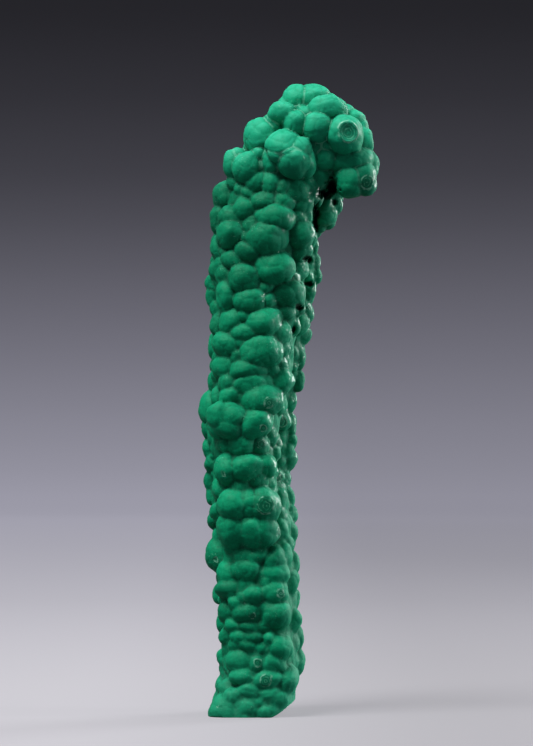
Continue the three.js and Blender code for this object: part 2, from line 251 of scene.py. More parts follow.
RIDGE_CORE = [
    (5.4, -0.3, -3, 5.8, 11.0), (5.9, -0.3, 8, 6.1, 11.2), (6.3, -0.3, 20, 6.1, 11.0),
    (6.3, 0.0, 32, 5.1, 10.6), (7.8, 1.4, 44, 3.4, 7.4), (7.5, 6.0, 56, 2.6, 4.0),
    (8.2, 6.4, 68, 2.6, 4.0), (8.2, 6.4, 75, 2.6, 4.0), (10.2, 6.6, 82, 2.6, 4.0),
    (12.0, 6.8, 92, 2.6, 3.8), (14.0, 6.8, 104, 2.6, 3.6), (14.4, 6.6, 112, 2.8, 3.6),
    (15.2, 5.4, 115, 2.0, 3.0), (19.2, 4.4, 119, 2.5, 3.2), (19.4, 3.8, 121, 2.4, 3.0),
    (21.0, 4.0, 125, 2.6, 2.8), (23.0, 3.0, 130, 2.8, 3.0),
]
BEAD_EVERY = 1.6  # millimetres along a core


def along_core(rows):
    """A core as close-set beads: each one's middle, half-width, half-depth and half-height, in metres."""
    beads = []
    padded = [rows[0]] + rows + [rows[-1]]
    for before, start, end, after in zip(padded, padded[1:], padded[2:], padded[3:]):
        stretch = math.dist(start[:3], end[:3])
        steps = max(1, round(stretch / BEAD_EVERY))
        for step in range(steps):
            t = step / steps
            row = []
            for a, b, c, d in zip(before, start, end, after):
                square = (2 * a - 5 * b + 4 * c - d) * t**2
                cube = (3 * b - a - 3 * c + d) * t**3
                row.append(0.5 * (2 * b + (c - a) * t + square + cube))
            beads.append([value * MM for value in row + [row[3]]])
    return np.array(beads)


main_beads, ridge_beads = along_core(MAIN_CORE), along_core(RIDGE_CORE)
beads = np.concatenate([main_beads, ridge_beads])

# The swellings that carry several knobs each: x, z, half-width, half-height and how far out each reaches.
SWELLINGS = [
    (12.4, 142.4, 6.4, 5.2, 1.0), (20.4, 143.2, 4.4, 3.2, 1.0), (11.2, 132.6, 5.2, 5.2, 3.8),
    (0.6, 131.0, 5.8, 3.4, 2.0), (2.8, 138.2, 3.4, 4.0, 1.6), (23.9, 138.0, 3.6, 3.4, 3.2),
    (26.7, 127.6, 3.9, 4.4, 2.2), (-4.4, 70.6, 5.6, 4.6, 1.8), (2.8, 69.6, 3.6, 3.4, 1.4),
    (4.6, 74.6, 4.2, 3.2, 1.4), (4.2, 86.4, 4.4, 3.4, 1.0), (4.6, 93.4, 3.8, 3.2, 0.8),
    (7.2, 106.4, 4.0, 3.6, 1.2), (5.6, 113.6, 4.2, 3.4, 1.2), (7.4, 118.0, 4.4, 2.8, 1.0),
    (13.8, 114.0, 3.4, 3.2, 1.2), (1.5, 43.6, 7.2, 3.0, 1.2), (1.0, 50.2, 7.2, 3.3, 1.5),
    (-0.4, 58.7, 6.0, 3.3, 0.9),
]

# The knobs of the face, from the crown down, in millimetres: x, z, half-width, half-height and, where a
# knob stands proud of its neighbours or lies behind them, how far out it is set.
FACE_KNOBS = [
    # the crown
    (12.6, 147.2, 2.8, 2.6, 0.5), (16.4, 147.0, 3.3, 2.9, 0.7), (20.0, 146.4, 2.0, 1.8),
    (19.8, 144.0, 4.4, 2.9, 1.2), (24.2, 143.2, 2.2, 2.3, 0.3), (26.2, 142.0, 2.0, 2.4),
    (27.7, 139.8, 1.6, 2.4), (8.9, 142.9, 3.0, 2.9, 0.9), (9.6, 146.0, 1.8, 1.6, -0.4),
    (6.2, 140.6, 2.0, 2.2), (11.3, 140.9, 2.7, 2.8, 0.9), (14.6, 143.6, 1.9, 1.3, -0.2),
    (17.0, 139.7, 3.5, 3.4, 1.8), (3.2, 137.5, 3.0, 3.4, 0.2), (5.6, 141.0, 1.6, 1.4, -0.6),
    (8.5, 136.0, 3.4, 2.6, 0.2), (10.9, 134.0, 3.2, 1.3, 0.4), (7.3, 133.4, 2.0, 1.9, 0.2),
    (12.0, 130.7, 3.3, 3.0, 0.4), (13.5, 134.4, 2.2, 2.4, 0.1), (15.2, 130.9, 1.5, 3.0, 0.4),
    (6.2, 131.0, 2.0, 2.4, 0.5), (3.0, 133.2, 1.8, 1.7, 0.4), (-0.2, 130.6, 2.5, 2.7, 0.3),
    (-2.0, 132.6, 1.6, 2.0, 0.3), (-3.7, 131.2, 1.5, 2.7), (19.8, 135.2, 2.0, 1.3, -0.6),
    (19.3, 131.9, 2.3, 2.4, -0.7), (25.4, 131.7, 4.0, 2.8, -0.1), (22.6, 134.2, 1.6, 1.3, -0.5),
    (23.9, 137.9, 3.5, 3.4, 0.5), (28.6, 136.8, 1.9, 2.8), (30.4, 130.6, 1.6, 3.0),
    (28.9, 126.9, 2.6, 3.0, 0.2), (25.0, 125.8, 2.8, 2.8, 0.3), (22.6, 128.6, 1.7, 1.5, -0.6),
    (18.0, 127.3, 2.2, 2.0, -0.5),
    # the neck
    (-2.8, 127.2, 1.5, 2.0, 0.5), (2.3, 127.2, 2.2, 2.1, 0.4), (-1.3, 125.4, 1.4, 1.3),
    (0.7, 124.9, 1.5, 1.2), (5.6, 126.6, 1.9, 2.0), (9.2, 125.4, 2.0, 1.6), (12.5, 124.3, 2.9, 2.4),
    (15.2, 126.1, 1.6, 1.8), (16.4, 124.0, 1.4, 1.9), (17.6, 122.9, 1.0, 1.4),
    (-5.3, 123.5, 2.2, 3.0, 0.2), (-0.4, 120.6, 2.3, 2.1, 0.2), (4.2, 122.6, 2.4, 2.1, 0.2),
    (9.3, 121.8, 2.8, 1.8), (14.0, 121.5, 2.5, 2.2), (13.3, 118.8, 1.9, 1.7), (15.2, 119.0, 1.5, 2.2),
    (-7.0, 118.3, 1.6, 3.0), (-3.9, 118.8, 2.8, 2.2), (7.3, 118.0, 4.0, 2.7, 0.4),
    (-3.5, 114.5, 3.0, 3.1, 0.8), (1.5, 116.2, 1.8, 2.1), (0.2, 113.9, 1.2, 1.5),
    (5.4, 113.5, 3.8, 3.3, 0.4), (13.4, 114.0, 2.8, 3.0, 0.2), (16.2, 114.0, 1.3, 2.6),
    (13.3, 110.4, 3.0, 1.8, 0.3), (19.5, 121.3, 1.7, 2.2), (22.3, 121.4, 1.2, 1.8),
    (19.7, 119.4, 2.4, 2.1, 0.4),
    # the upper shaft
    (-6.6, 111.0, 1.4, 2.8), (0.9, 110.5, 2.8, 2.1, 0.4), (-2.9, 108.3, 2.5, 1.8),
    (-4.6, 110.3, 1.2, 1.2), (-6.0, 106.9, 1.1, 1.3), (-6.8, 105.8, 1.5, 1.8), (-5.3, 104.6, 1.6, 1.7),
    (-0.2, 104.0, 3.4, 2.9, 0.6), (7.2, 106.2, 3.8, 3.4, 0.3), (-7.6, 102.4, 1.6, 2.2),
    (-4.6, 99.8, 2.3, 3.5, 0.6), (-8.0, 99.6, 1.3, 2.2), (-7.2, 96.9, 1.4, 1.5),
    (1.2, 98.8, 3.3, 2.9, 0.6), (0.0, 95.3, 1.7, 1.5), (5.0, 102.2, 1.9, 1.5), (5.9, 98.6, 1.6, 1.8),
    (10.6, 100.0, 3.8, 3.2, 0.6), (11.3, 103.8, 1.9, 1.5), (13.5, 106.5, 1.8, 2.2),
    (15.1, 104.2, 1.2, 1.9), (-3.6, 94.0, 2.4, 2.5), (-6.7, 93.0, 1.5, 2.4), (4.6, 93.5, 3.4, 2.9, 0.2),
    (0.2, 91.4, 3.2, 1.8), (8.4, 90.6, 2.7, 2.2), (10.0, 95.5, 1.8, 1.8), (12.4, 96.8, 1.6, 1.7),
    (-4.6, 88.2, 3.0, 3.0, 0.5), (-7.6, 88.0, 1.2, 2.5), (12.0, 92.4, 1.3, 1.8), (-2.3, 85.6, 1.7, 1.6),
    (4.0, 86.4, 4.1, 3.3, 0.2), (-0.8, 88.9, 1.4, 1.4), (-5.1, 83.0, 2.6, 2.2),
    (0.8, 82.3, 3.7, 2.3, 0.2), (6.2, 82.2, 1.7, 1.6), (8.8, 83.2, 1.6, 1.6), (9.2, 87.3, 1.6, 1.9),
    (-7.4, 79.0, 1.4, 2.2), (-4.0, 79.0, 2.2, 1.9), (1.9, 78.3, 3.6, 2.4, 0.2),
    (8.4, 79.2, 3.1, 2.7, 0.6), (-0.9, 79.0, 1.2, 1.5),
    # the girdle
    (-6.6, 76.0, 1.6, 1.6), (-3.3, 76.0, 2.5, 2.0), (4.4, 74.6, 3.8, 3.0, 0.2), (0.0, 75.4, 1.5, 1.5),
    (-9.2, 73.2, 1.8, 3.2), (-6.2, 71.4, 2.5, 2.8, 0.2), (-2.6, 71.8, 2.9, 2.7, 0.2),
    (-3.5, 68.0, 3.3, 2.3), (-9.2, 68.6, 1.2, 2.0), (-6.9, 68.0, 1.9, 1.9), (2.7, 69.6, 3.1, 3.1, 0.3),
    (6.5, 66.4, 1.3, 1.7), (7.5, 64.4, 1.3, 1.3), (8.6, 69.6, 1.9, 2.1, 0.3), (8.6, 72.9, 1.2, 1.3),
    (-0.7, 64.9, 2.9, 2.5), (3.9, 64.6, 1.9, 2.0), (-4.6, 64.2, 2.2, 1.7, -0.8), (7.0, 62.4, 1.4, 1.4),
    (-8.8, 63.5, 1.5, 1.8), (-8.0, 60.0, 1.7, 2.1), (-4.8, 58.0, 2.3, 2.9, 0.2),
    (0.3, 58.9, 3.3, 2.6, 0.2), (5.3, 59.5, 2.0, 2.3), (7.9, 60.1, 1.2, 1.3), (7.7, 57.0, 1.6, 1.8, 0.3),
    (-8.1, 55.7, 1.2, 1.9), (-6.0, 53.8, 1.9, 1.9), (-0.7, 54.9, 2.5, 1.6), (3.3, 55.8, 2.5, 1.9),
    (-7.7, 52.0, 1.2, 1.7), (-3.1, 50.0, 3.2, 3.1, 0.2), (1.3, 49.7, 2.6, 2.9),
    (5.0, 50.5, 3.3, 3.2, 0.3), (8.3, 53.4, 1.6, 1.6), (8.8, 50.5, 1.6, 2.6), (7.7, 47.3, 1.7, 1.5),
    (-6.2, 48.4, 1.8, 1.8), (-7.5, 46.2, 1.2, 1.9), (-3.4, 43.4, 3.2, 2.9), (1.5, 43.0, 2.6, 2.9),
    (5.2, 43.4, 2.4, 2.8), (8.3, 44.3, 1.9, 2.4, 0.2), (3.6, 46.6, 1.8, 0.9, -0.3),
    (-0.8, 46.8, 2.0, 0.9, -0.3),
    # the lower shaft
    (-6.2, 38.0, 2.7, 3.6, 0.4), (-6.6, 42.4, 1.2, 1.5), (1.5, 38.5, 3.6, 1.5),
    (0.2, 35.2, 3.5, 2.3, 0.5), (-3.6, 40.4, 1.8, 1.2, -0.3), (-4.3, 34.0, 2.0, 1.9),
    (6.9, 37.7, 2.4, 2.6, 0.3), (4.6, 33.6, 1.6, 1.2), (9.8, 37.8, 1.4, 2.2), (8.3, 33.6, 2.2, 1.9),
    (4.9, 31.9, 1.3, 1.0), (-3.8, 30.2, 2.9, 2.0, 0.2), (2.6, 29.3, 2.5, 2.5, 1.0),
    (7.8, 29.4, 2.6, 2.2, 0.2), (-6.3, 28.2, 1.2, 1.9), (-4.8, 27.4, 1.5, 1.0), (-1.8, 27.3, 1.8, 1.0),
    (-0.2, 28.9, 1.0, 1.2), (-3.9, 24.4, 2.4, 2.0, 0.2), (0.6, 24.4, 2.8, 2.0, 0.2),
    (4.2, 25.4, 1.5, 1.6), (8.0, 24.0, 3.1, 3.1, 0.9), (-2.5, 21.5, 2.0, 1.2), (-5.6, 21.4, 1.3, 1.4),
    (1.3, 21.2, 2.2, 1.0), (4.6, 21.7, 1.8, 1.2), (-4.4, 18.7, 1.4, 1.4), (-1.6, 18.8, 1.7, 1.3),
    (1.8, 18.8, 2.2, 1.3), (5.8, 18.4, 1.4, 1.4, 0.7), (0.6, 16.5, 1.8, 1.0), (-2.4, 16.3, 1.5, 1.1),
    (3.8, 16.2, 1.6, 1.1), (9.0, 16.7, 2.5, 2.4, 0.3),
    # the foot
    (3.3, 13.1, 2.1, 1.7, 0.3), (-1.9, 13.1, 2.7, 1.9, 0.2), (-5.0, 13.2, 1.4, 1.7),
    (7.1, 12.8, 2.0, 1.6), (-0.9, 9.8, 2.9, 1.7, 0.3), (4.9, 9.2, 3.0, 1.8, 0.5),
    (10.2, 8.6, 2.6, 3.2, 0.5), (-4.6, 10.2, 1.5, 1.3), (-4.3, 6.8, 1.9, 1.5), (1.0, 6.5, 2.3, 1.8, 0.4),
    (5.6, 5.6, 2.0, 1.2), (-5.6, 1.0, 2.8, 2.8), (-5.5, 7.0, 1.3, 1.4), (-2.4, 5.2, 1.9, 1.3),
    (1.0, 2.6, 2.2, 1.6, -0.3), (4.8, 1.4, 2.6, 1.7, -0.1), (3.5, 3.4, 2.4, 1.2, -0.4),
    (8.6, 4.2, 2.2, 1.6, -0.3),
    # the ridge
    (16.9, 112.0, 0.9, 1.6), (17.0, 108.3, 1.1, 2.0), (17.1, 104.6, 1.0, 1.8), (15.7, 101.0, 1.3, 2.0),
    (15.2, 95.6, 1.2, 2.0), (13.8, 93.0, 1.6, 2.0), (14.3, 90.5, 1.6, 1.7), (11.6, 86.8, 1.1, 2.0),
    (13.3, 85.3, 1.2, 2.4), (11.4, 83.6, 1.1, 1.3), (12.8, 79.5, 1.3, 2.1), (10.8, 74.6, 1.2, 2.6),
    (11.2, 68.8, 1.4, 2.5), (11.1, 65.0, 1.3, 1.7), (10.2, 62.8, 1.3, 1.4), (10.9, 60.6, 1.3, 1.8),
    (10.0, 55.2, 1.1, 2.4), (10.7, 51.6, 1.3, 2.1), (11.3, 47.4, 1.1, 1.6), (10.1, 45.5, 1.1, 1.3),
    (11.2, 43.4, 1.1, 1.8), (10.5, 41.0, 1.1, 1.6), (11.2, 36.0, 1.2, 2.3), (11.0, 31.4, 1.4, 2.2),
    (12.0, 27.4, 1.1, 1.7), (11.8, 22.6, 1.3, 2.4), (12.5, 18.0, 1.2, 2.4), (12.5, 11.9, 1.3, 2.6),
]
STANDS_OUT = 0.52  # how far out a knob's top is, as a share of its depth
CALM_SINKS = 0.30  # how much less that is where the shaft is worn
FULLER = 0.09  # how much wider the knobs are than what shows of them, above the worn lower shaft
PROUDNESS = 0.65  # how much of a knob's setting out is used
RELIEF, CALM_RELIEF = 0.42, 0.32  # how far a knob's top is above its creases, as a share of its half-width
CALM_LIFT = 0.35 * MM
CALM_BELOW, ROUGH_ABOVE = 32 * MM, 62 * MM  # the lower shaft is worn smoother, with its knobs flatter


def calm(z):
    """1 where the lower shaft is smooth, 0 from the girdle up."""
    return np.clip((ROUGH_ABOVE - z) / (ROUGH_ABOVE - CALM_BELOW), 0, 1)


def front(x, z):
    """Where the front of what has grown so far is at (x, z), and which way it looks."""
    reach = ((x - beads[:, 0]) / beads[:, 3]) ** 2 + ((z - beads[:, 2]) / beads[:, 5]) ** 2
    inside = np.nonzero(reach < 1)[0]
    if not len(inside):
        closest = beads[reach.argmin()]
        outward = np.array((x - closest[0], 0, z - closest[2]))
        return np.array((x, closest[1], z)), outward / np.linalg.norm(outward)
    depths = beads[inside, 1] - beads[inside, 4] * np.sqrt(1 - reach[inside])
    foremost = beads[inside[depths.argmin()]]
    place = np.array((x, depths.min(), z))
    outward = (place - foremost[:3]) / foremost[3:] ** 2
    return place, outward / np.linalg.norm(outward)


swollen = []
for x, z, half_width, half_height, reach in SWELLINGS:
    place, outward = front(x * MM, z * MM)
    size = np.array((half_width, 0.5 * (half_width + half_height), half_height)) * MM
    swollen.append((*(place + outward * (reach * MM - size[1])), *size))
beads = np.concatenate([beads, swollen])

# A knob on the face stands out a little, and one at the column's edge by as much as it shows there. The
# flatter a knob, the larger the ball that it is the top of, so more of the ball is buried.
centres, radii, seen = [], [], []
for x, z, half_width, half_height, *proud in FACE_KNOBS:
    place, outward = front(x * MM, z * MM)
    worn = calm(z * MM)
    fuller = 1 + FULLER * (1 - worn)
    half_width, half_height = half_width * fuller, half_height * fuller
    proud = PROUDNESS * sum(proud) * MM
    small, large = sorted((half_width * MM, half_height * MM))
    depth = 0.65 * small + 0.35 * large
    at_edge = 1 - outward[1] ** 2
    stands_out = STANDS_OUT - CALM_SINKS * worn
    relief = (RELIEF + (CALM_RELIEF - RELIEF) * worn) * small + max(0, proud)
    buried = max(0, (small**2 + relief**2) / (2 * relief) - small)
    top = depth * (stands_out + (1 - stands_out) * at_edge / fuller) + proud + CALM_LIFT * worn
    centres.append(place + outward * (top - depth - buried))
    radii.append(np.array((half_width * MM, depth, half_height * MM)) + buried)
    seen.append((*place, 0.5 * (small + large)))

# The sides, the back and the gaps of the face are covered by chance: a place on a core is tried with a
# smaller and smaller knob, and the knob stays where it has room.
TRIES = 15000
SPREAD = 1.38  # how much larger a scattered knob is than what shows of it between its creases
LARGEST, SMALLEST = 3.5 * MM, 1.1 * MM
LARGEST_ON_RIDGE = 2.0 * MM
LARGEST_ON_FACE = 2.4 * MM
SMALLEST_ON_FACE = 1.4 * MM
CLOSEST = 0.78  # how near two knobs' middles may be, as a share of what shows of them
CLOSEST_ON_FACE = 1.25
FACE_LIMIT, RIGHT_LIMIT = -0.35, 0.10  # a place that looks more towards -Y than this is on the face
RIDGE_SHARE = 0.3  # of the tries
TOO_DEEP = 0.55  # a place further inside the mass than this gets no knob
BARE_BELOW = 5 * MM  # the foot's skirt has no scattered knobs on its face
# A groove without knobs parts the face from the ridge.
GROOVE_Z = np.array((46, 58, 70, 83, 95, 104, 112, 119)) * MM
GROOVE_X = np.array((9.0, 9.0, 9.8, 12.2, 13.8, 15.4, 16.4, 17.0)) * MM
GROOVE_HALF = 1.2 * MM
chance = random.Random(4217)
count = len(seen)
taken = np.zeros((count + TRIES, 4))
taken[:count] = seen
for attempt in range(TRIES):
    on_ridge = chance.random() < RIDGE_SHARE
    core = ridge_beads if on_ridge else main_beads
    row = chance.randrange(1, len(core) - 1)
    middle, half_width, half_depth = core[row, :3], core[row, 3], core[row, 4]
    run = core[row + 1, :3] - core[row - 1, :3]
    side = np.array((run[2], 0, -run[0])) / math.hypot(run[0], run[2])
    turn = chance.uniform(0, math.tau)
    on_face = math.sin(turn) < (RIGHT_LIMIT if math.cos(turn) > 0 and not on_ridge else FACE_LIMIT)
    size = LARGEST + (SMALLEST - LARGEST) * (attempt / TRIES) ** 0.6
    squat = chance.uniform(0.85, 1.15)
    if on_ridge:
        size = min(size, LARGEST_ON_RIDGE)
    if on_face:
        size = min(size, LARGEST_ON_FACE)
    outward = side * math.cos(turn) + np.array((0, math.sin(turn), 0))
    place = middle + side * half_width * math.cos(turn) + np.array((0, half_depth * math.sin(turn), 0))
    inside = ((place - beads[:, :3]) / beads[:, 3:]) ** 2
    in_groove = abs(place[0] - np.interp(place[2], GROOVE_Z, GROOVE_X)) < GROOVE_HALF and place[1] < 4 * MM
    in_groove = in_groove and GROOVE_Z[0] < place[2] < GROOVE_Z[-1]
    at_edge = math.cos(turn) ** 2
    share = CLOSEST_ON_FACE if on_face else CLOSEST
    apart = np.linalg.norm(taken[:count, :3] - place, axis=1) / (taken[:count, 3] + size)
    if inside.sum(axis=1).min() < TOO_DEEP or apart.min() < share or in_groove:
        continue
    if on_face and size < SMALLEST_ON_FACE:
        continue
    if on_face and place[2] < BARE_BELOW:
        continue
    taken[count] = (*place, size)
    count += 1
    centres.append(place + outward * size * (0.55 - 0.25 * at_edge - SPREAD))
    radii.append(SPREAD * np.array((size, size, size * squat)))
centres, radii = np.array(centres), np.array(radii)
knob_count = len(centres)

# One knob is shaped: a ball with a blunter end. Copies of it make the knobs and the cores' beads.
bpy.ops.mesh.primitive_ico_sphere_add(subdivisions=3, radius=1)
knob = bpy.context.object
knob.name = "knob"
bpy.ops.object.mode_set(mode="EDIT")
bpy.ops.mesh.select_all(action="SELECT")
bpy.ops.mesh.vertices_smooth(factor=0.3, repeat=1)
bpy.ops.transform.resize(value=(1.03, 1.03, 1.03))
bpy.ops.object.mode_set(mode="OBJECT")
bpy.ops.object.select_all(action="DESELECT")


def grow(place, size):
    copy = knob.copy()
    copy.data = knob.data.copy()
    copy.location, copy.scale = place, size
    bpy.context.scene.collection.objects.link(copy)
    copy.select_set(True)


for place, size in zip(centres, radii):
    grow(place, size)
for bead in beads:
    grow(bead[:3], bead[3:])
# The first knob itself ends up deep inside the core.
knob.select_set(True)
knob.location, knob.scale = main_beads[20, :3], (4 * MM, 4 * MM, 4 * MM)
bpy.context.view_layer.objects.active = knob
bpy.ops.object.join()
malachite = knob
malachite.name = "malachite"
bpy.ops.object.transform_apply(location=True, rotation=True, scale=True)

# One skin is drawn over them all.
SKIN = 0.30 * MM
bpy.ops.object.modifier_add(type="REMESH")
malachite.modifiers[-1].mode = "VOXEL"
malachite.modifiers[-1].voxel_size = SKIN
bpy.ops.object.modifier_apply(modifier=malachite.modifiers[-1].name)
bpy.ops.object.modifier_add(type="SMOOTH")
malachite.modifiers[-1].factor = 0.5
malachite.modifiers[-1].iterations = 4
bpy.ops.object.modifier_apply(modifier=malachite.modifiers[-1].name)


def read(kind, piece=malachite):
    """The places or the normals of a piece's vertices."""
    flat = np.zeros(3 * len(piece.data.vertices), np.float32)
    piece.data.vertices.foreach_get(kind, flat)
    return flat.reshape(-1, 3).astype(float)


def set_places(places):
    malachite.data.vertices.foreach_set("co", places.astype(np.float32).ravel())
    malachite.data.update()


def smoothed(rounds):
    """Where the skin's vertices would go if it were smoothed this many times."""
    bpy.ops.object.duplicate()
    smooth = bpy.context.object
    bpy.ops.object.modifier_add(type="SMOOTH")
    smooth.modifiers[-1].factor = 0.5
    smooth.modifiers[-1].iterations = rounds
    bpy.ops.object.modifier_apply(modifier=smooth.modifiers[-1].name)
    places = read("co", smooth)
    bpy.ops.object.delete()
    malachite.select_set(True)
    bpy.context.view_layer.objects.active = malachite
    return places


# The lower shaft is worn, so its creases are wide and soft.
WORN_ROUNDS = 9
places = read("co")
set_places(places + (smoothed(WORN_ROUNDS) - places) * calm(places[:, 2])[:, None])
SLAB = 2 * MM


def nearest_two(places, centres, radii):
    """How far each place is from the nearest of these balls and from the next, and the nearest's number."""
    first, second = np.full(len(places), np.inf), np.full(len(places), np.inf)
    number = np.zeros(len(places), int)
    reach = 1.5 * radii.max()
    mean = radii.mean(axis=1)
    for low in np.arange(places[:, 2].min(), places[:, 2].max() + SLAB, SLAB):
        rows = np.nonzero((places[:, 2] >= low) & (places[:, 2] < low + SLAB))[0]
        near = np.nonzero((centres[:, 2] > low - reach) & (centres[:, 2] < low + SLAB + reach))[0]
        if not len(rows):
            continue
        apart = (places[rows, None] - centres[None, near]) / radii[None, near]
        away = (np.linalg.norm(apart, axis=2) - 1) * mean[near]
        order = np.argpartition(away, 1, axis=1)[:, :2]
        two = np.take_along_axis(away, order, axis=1)
        swap = two[:, 0] > two[:, 1]
        order[swap], two[swap] = order[swap, ::-1], two[swap, ::-1]
        first[rows], second[rows], number[rows] = two[:, 0], two[:, 1], near[order[:, 0]]
    return first, second, number


def ripple(places, wave, seed):
    """Smooth noise from -1 to 1 with features about `wave` across."""
    shift = Vector((17.3 * seed, -9.1 * seed, 5.7 * seed))
    return np.array([noise.noise(Vector(place) / wave + shift) for place in places])


# The creases where knobs meet are cut deeper, and no knob is a perfect ball.
CREASE_DEPTH, CREASE_WIDTH = 0.12 * MM, 0.20 * MM
CALM_CREASE = 0.3  # how much of the cut is left where the shaft is worn
WIDE_BEND, NARROW_BEND = 0.75 * MM, 0.22 * MM
GRAIN = 0.04 * MM


def bend(places):
    """How far each place is pushed aside, so that no knob is a perfect ball."""
    wide = np.stack([ripple(places, 7.0 * MM, seed) for seed in (1, 2, 3)], axis=1)
    narrow = np.stack([ripple(places, 2.8 * MM, seed) for seed in (4, 5, 6)], axis=1)
    return WIDE_BEND * wide + NARROW_BEND * narrow


places, normals = read("co"), read("normal")
# Each knob is a cluster of smaller lobes that barely show.
CLUSTER_TRIES, CLUSTER_APART = 9000, 2.1 * MM
CLUSTER_DOME, CLUSTER_CUT, CLUSTER_CUT_WIDTH = 0.13 * MM, 0.08 * MM, 0.25 * MM
small_knobs = np.zeros((CLUSTER_TRIES, 3))
small_count = 0
for attempt in range(CLUSTER_TRIES):
    place = places[chance.randrange(len(places))]
    if small_count and np.abs(small_knobs[:small_count] - place).max(axis=1).min() < CLUSTER_APART * 0.8:
        continue
    small_knobs[small_count] = place
    small_count += 1
small_knobs = small_knobs[:small_count]
small_radii = np.full((small_count, 3), CLUSTER_APART)
from_small, from_next = nearest_two(places, small_knobs, small_radii)[:2]
dome = 1 - ((from_small + CLUSTER_APART) / CLUSTER_APART) ** 2
cluster_crease = np.exp(-(from_next - from_small) / CLUSTER_CUT_WIDTH)
first, second, number = nearest_two(places, centres, radii)
from_core = nearest_two(places, beads[:, :3], beads[:, 3:])[0]
second = np.minimum(second, np.maximum(first, from_core))
first = np.minimum(first, from_core)
worn = calm(places[:, 2])
move = -CREASE_DEPTH * np.exp(-(second - first) / CREASE_WIDTH) * (1 - (1 - CALM_CREASE) * worn)
move += CLUSTER_DOME * dome - CLUSTER_CUT * cluster_crease + GRAIN * ripple(places, 1.0 * MM, 7)
# The foot's skirt is smooth, but for fine upright fibres.
SKIRT, FIBRE_HEIGHT, FIBRE_WIDTH = 5 * MM, 0.22 * MM, 1.2 * MM
fibres = ripple(places * (1, 1, 0.12), FIBRE_WIDTH, 8)
move += FIBRE_HEIGHT * fibres * np.clip(1 - places[:, 2] / SKIRT, 0, 1)
bent = places + normals * move[:, None] + bend(places)
near_foot = np.clip(places[:, 2] / (4 * MM), 0, 1)
bent[:, 2] = places[:, 2] + (bent[:, 2] - places[:, 2]) * near_foot
set_places(bent)

# Deep hollows under the crown and along the groove, with ragged edges: x, z, half-width, half-height and
# depth, in millimetres. Only what faces forward is pushed in.
RAGGED = 0.5
HOLLOWS = [
    (20.8, 126.0, 1.2, 2.0, 4.5), (18.7, 124.2, 1.8, 0.9, 3.0), (16.8, 119.5, 0.9, 2.1, 4.0),
    (16.9, 116.6, 0.7, 1.5, 3.0), (21.3, 122.2, 0.7, 1.0, 1.2), (14.8, 108.6, 1.5, 0.8, 1.6),
    (15.0, 102.8, 1.3, 0.7, 1.6), (12.9, 97.0, 1.2, 0.8, 1.6), (11.6, 91.8, 0.5, 1.0, 1.0),
]
places, normals = read("co"), read("normal")
in_hollow = np.zeros(len(places))
for x, z, half_width, half_height, depth in HOLLOWS:
    away = np.hypot((places[:, 0] / MM - x) / half_width, (places[:, 2] / MM - z) / half_height)
    near = away < 2
    away[near] *= 1 + RAGGED * ripple(places[near], 1.3 * MM, 10)
    share = np.clip(1.25 - away, 0, 1) * np.clip(-normals[:, 1] / 0.3, 0, 1)
    places[:, 1] += depth * MM * share
    in_hollow = np.maximum(in_hollow, share)
set_places(places)

# Tips that are broken or worn off: x, z, radius, how deep the hollow is, and how high its growth rings
# stand. The break is square to the knob, and its rings are as far apart as the layers of the knob.
RING_EVERY = 0.65 * MM
WORN_TO = 0.55  # how far a tip is flattened towards its break
CUT_OFF = 0.12  # how much of a tip is gone, as a share of its radius
UNROUND = 0.20
BROKEN_TIPS = [
    (24.9, 138.6, 2.4, 1.8, 0.0), (6.3, 74.2, 1.2, 0.0, 0.02), (4.6, 68.0, 0.9, 0.0, 0.03),
    (9.2, 69.6, 1.2, 0.0, 0.06), (4.7, 64.5, 1.1, 0.1, 0.04), (8.4, 56.8, 1.1, 0.1, 0.05),
    (-5.3, 57.1, 0.6, 0.15, 0.0), (5.5, 50.6, 1.9, 0.35, 0.0), (8.7, 43.7, 1.1, 0.0, 0.05),
    (-7.3, 37.0, 0.6, 0.2, 0.0), (8.9, 29.4, 1.0, 0.0, 0.04), (3.5, 13.2, 0.9, 0.2, 0.04),
    (4.6, 8.9, 1.3, 0.1, 0.05), (-6.8, 2.8, 0.4, 0.1, 0.0), (29.2, 126.2, 1.5, 0.0, 0.03),
    (1.8, 23.6, 0.7, 0.0, 0.03),
]


def across_tip(places, tip, outward, radius):
    """How high each place is above a tip's break, and how far from its middle as a share of its radius."""
    height = (places - tip) @ outward
    away = np.linalg.norm(places - tip - height[:, None] * outward, axis=1) / radius
    near = away < 1.6
    away[near] *= 1 + UNROUND * ripple(places[near], 1.3 * radius, 9)
    return height, away


tips = []
for x, z, radius, hollow, rings in BROKEN_TIPS:
    places, normals = read("co"), read("normal")
    near = np.hypot(places[:, 0] - x * MM, places[:, 2] - z * MM) < 0.5 * MM
    tip = places[near][places[near, 1].argmin()]
    radius *= MM
    outward = normals[np.linalg.norm(places - tip, axis=1) < radius].mean(axis=0)
    outward /= np.linalg.norm(outward)
    height, away = across_tip(places, tip, outward, radius)
    at_tip = (away < 1.15) & (np.abs(height) < 2.0 * radius)
    share = WORN_TO * np.clip((1.15 - away[at_tip]) / 0.3, 0, 1)
    level = -CUT_OFF * radius - hollow * MM * np.clip(1 - away[at_tip] ** 2, 0, 1)
    level += rings * MM * np.cos(away[at_tip] * radius * math.tau / RING_EVERY)
    places[at_tip] += ((level - height[at_tip]) * share)[:, None] * outward
    set_places(places)
    tips.append((tip, outward, radius))

# What the colours need to know of each spot: how near it is to a crease or a lobe's edge, its knob's own
# shade, how far it faces up, whether it is broken and where among the rings, how far it bulges from the
# skin close by and stands out from the skin further off, whether it faces right, and whether it is in a
# deep hollow.
places, normals = read("co"), read("normal")
shade = np.array([chance.random() for _ in range(knob_count)])


